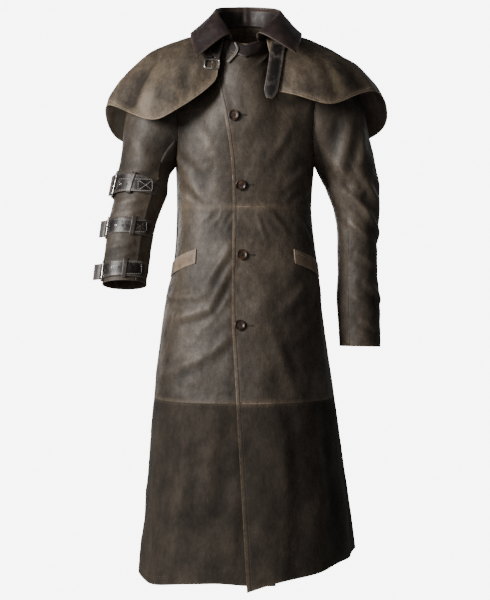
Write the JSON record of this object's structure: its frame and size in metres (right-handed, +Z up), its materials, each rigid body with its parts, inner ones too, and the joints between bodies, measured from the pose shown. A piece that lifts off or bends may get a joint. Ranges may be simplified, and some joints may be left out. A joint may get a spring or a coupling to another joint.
{
  "type": "duster coat",
  "caption": "Full-length leather duster coat with a shoulder cape, buttoned front, strapped right sleeve and open throat latch, filled out and hollow.",
  "frame": {"origin": "middle of the neck, 1.300 m above the hem, where the wearer's neck and shoulders hold the coat", "axes": "+Z up from the hem to the collar, -Y the way the coat faces, +X towards the wearer's left sleeve"},
  "size_m": [0.7138, 0.508, 1.3821],
  "materials": {
    "body_leather": "worn grey-brown leather, soft sheen",
    "cape_leather": "mottled warm brown leather, nearly matt",
    "lower_suede": "brown suede, matt",
    "collar_leather": "dark plum-brown leather, satin",
    "strap_leather": "near-black brown strap leather, glossy where worn",
    "welt_leather": "tan leather, matt",
    "buckle_metal": "bright plated steel wire",
    "button_horn": "dark brown, polished"
  },
  "bodies": {
    "coat": {"chest_front_right": "body_leather", "chest_front_left": "body_leather", "chest_back_right": "body_leather", "chest_back_left": "body_leather", "skirt_front_right": "body_leather", "skirt_front_left": "body_leather", "skirt_back_right": "body_leather", "skirt_back_left": "body_leather", "lower_front_right": "lower_suede", "lower_front_left": "lower_suede", "lower_back_right": "lower_suede", "lower_back_left": "lower_suede", "sleeve_right_top": "body_leather", "sleeve_right_under": "body_leather", "sleeve_left_top": "body_leather", "sleeve_left_under": "body_leather", "cape_right": "cape_leather", "cape_left": "cape_leather", "collar_stand": "collar_leather", "collar": "collar_leather", "pocket_welt_right": "welt_leather", "pocket_welt_left": "welt_leather", "button_1": "button_horn", "button_2": "button_horn", "button_3": "button_horn", "button_4": "button_horn", "sleeve_strap_1": "strap_leather", "sleeve_strap_2": "strap_leather", "sleeve_strap_3": "strap_leather", "sleeve_chape_1": "strap_leather", "sleeve_chape_2": "strap_leather", "sleeve_chape_3": "strap_leather", "sleeve_keeper_1": "strap_leather", "sleeve_keeper_2": "strap_leather", "sleeve_keeper_3": "strap_leather", "sleeve_buckle_1": "buckle_metal", "sleeve_buckle_2": "buckle_metal", "sleeve_buckle_3": "buckle_metal", "sleeve_prong_1": "buckle_metal", "sleeve_prong_2": "buckle_metal", "sleeve_prong_3": "buckle_metal", "throat_tab": "strap_leather", "throat_strap": "strap_leather"},
    "latch_frame": {"throat_buckle": "buckle_metal"},
    "latch_prong": {"throat_prong": "buckle_metal"}
  },
  "joints": [
    {"name": "latch_frame_swing", "type": "hinge", "parent": "coat", "child": "latch_frame", "pos_m": [-0.07633, -0.11765, -0.0729], "axis": [-0.9957, -0.0341, 0.0856], "range_deg": [0, 60]},
    {"name": "latch_prong_swing", "type": "hinge", "parent": "latch_frame", "child": "latch_prong", "pos_m": [-0.07633, -0.11765, -0.0729], "axis": [-0.9957, -0.0341, 0.0856], "range_deg": [0, 45]}
  ]
}
